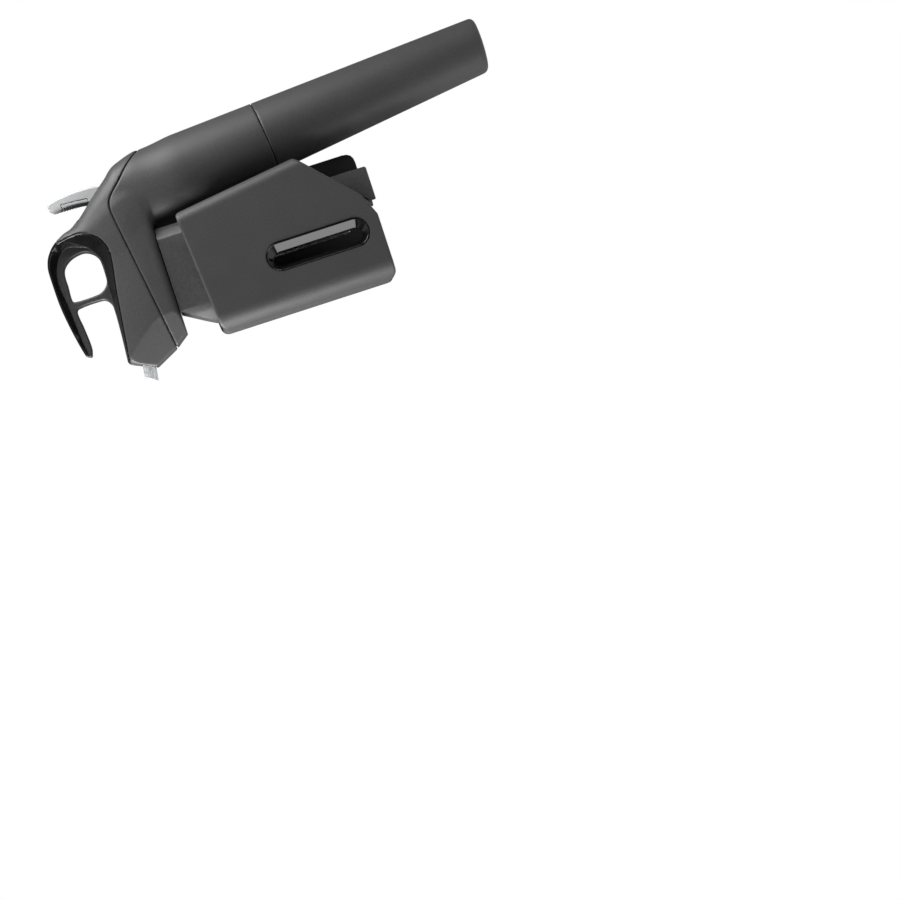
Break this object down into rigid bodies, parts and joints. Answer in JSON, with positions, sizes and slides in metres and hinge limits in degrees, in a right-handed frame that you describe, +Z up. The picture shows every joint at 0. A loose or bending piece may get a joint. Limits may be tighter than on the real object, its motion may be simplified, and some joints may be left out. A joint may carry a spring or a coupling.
{
  "type": "wine preservation dispenser",
  "caption": "Hand dispenser with a neck clamp, a sliding head with finger loop, needle, spout and trigger, and a gas capsule in its handle.",
  "frame": {"origin": "centre of the lip seat, on the needle's axis, in the plane of the lip pad's underside", "axes": "+Z up along the needle, +X from the needle towards the handle, -X towards the spout, +Y the left jaw's side"},
  "size_m": [0.1164, 0.0486, 0.2245],
  "materials": {
    "shell_plastic": "fine moulded texture, dark grey",
    "gloss_black": "polished black",
    "rail_black": "satin black",
    "frame_grey": "satin dark grey",
    "rubber": "dull black",
    "silver": "satin silver",
    "steel": "brushed",
    "brass": "turned",
    "clear_plastic": "clear, slightly milky"
  },
  "bodies": {
    "clamp": {"clamp_frame": "frame_grey", "lip_pad": "rubber", "needle_guide": "rail_black", "needle_wiper": "rubber", "jaw_pin_left": "steel", "jaw_spring_left": "steel", "jaw_pin_right": "steel", "jaw_spring_right": "steel"},
    "jaw_left": {"jaw_cover_left": "shell_plastic", "jaw_carrier_left": "rail_black", "grip_pad_left": "rubber", "window_bezel_left": "gloss_black"},
    "jaw_right": {"jaw_cover_right": "shell_plastic", "jaw_carrier_right": "rail_black", "grip_pad_right": "rubber", "window_bezel_right": "gloss_black"},
    "head": {"main_shell": "shell_plastic", "nose_shell": "shell_plastic", "grip_insert": "gloss_black", "guide_rail": "rail_black", "rail_screw_left": "steel", "rail_screw_right": "steel", "manifold_block": "rail_black", "needle_hub": "steel", "needle_nut": "rail_black", "hub_seal": "rubber", "needle": "steel", "spout_adapter": "rail_black", "spout_seal": "rubber", "spout_tip": "clear_plastic", "gas_tube": "steel", "trigger_pin": "steel", "regulator_body": "brass", "regulator_piston": "brass", "regulator_spring": "steel", "regulator_cap": "brass", "piercing_pin": "steel", "capsule_seal": "rubber", "valve_housing": "brass", "valve_spring": "steel"},
    "trigger": {"trigger_lever": "silver"},
    "valve": {"valve_stem": "steel"},
    "capsule": {"gas_capsule": "steel"},
    "cup": {"capsule_cup": "shell_plastic", "cup_cushion": "rubber"}
  },
  "joints": [
    {"name": "head_slide", "type": "slide", "parent": "clamp", "child": "head", "axis": [0, 0, 1], "range_m": [0, 0.07]},
    {"name": "jaw_left_hinge", "type": "hinge", "parent": "clamp", "child": "jaw_left", "pos_m": [0, 0.0174, 0.0066], "axis": [1, 0, 0], "range_deg": [0, 8], "stiffness_Nm_per_rad": 0.4, "springref_deg": -20.05},
    {"name": "jaw_right_hinge", "type": "hinge", "parent": "clamp", "child": "jaw_right", "pos_m": [0, -0.0174, 0.0066], "axis": [-1, 0, 0], "range_deg": [0, 8], "stiffness_Nm_per_rad": 0.4, "springref_deg": -20.05},
    {"name": "trigger_press", "type": "hinge", "parent": "head", "child": "trigger", "pos_m": [0.05049, 0, 0.04148], "axis": [0, -1, 0], "range_deg": [0, 13], "stiffness_Nm_per_rad": 0.1, "springref_deg": -11.46},
    {"name": "valve_slide", "type": "slide", "parent": "head", "child": "valve", "axis": [0.0972, 0, -0.9953], "range_m": [0, 0.002], "deforming": ["valve_spring"]},
    {"name": "capsule_slide", "type": "slide", "parent": "head", "child": "capsule", "axis": [0.0972, 0, -0.9953], "range_m": [0, 0.009]},
    {"name": "cup_spin", "type": "hinge", "parent": "capsule", "child": "cup", "pos_m": [0.05385, 0, -0.036], "axis": [0.0972, 0, -0.9953], "range_deg": [0, 1080]}
  ],
  "couplings": [
    {"joint": "valve_slide", "follows": "trigger_press", "m_per_rad": 0.0085},
    {"joint": "cup_spin", "follows": "capsule_slide", "rad_per_m": 2094.4}
  ]
}
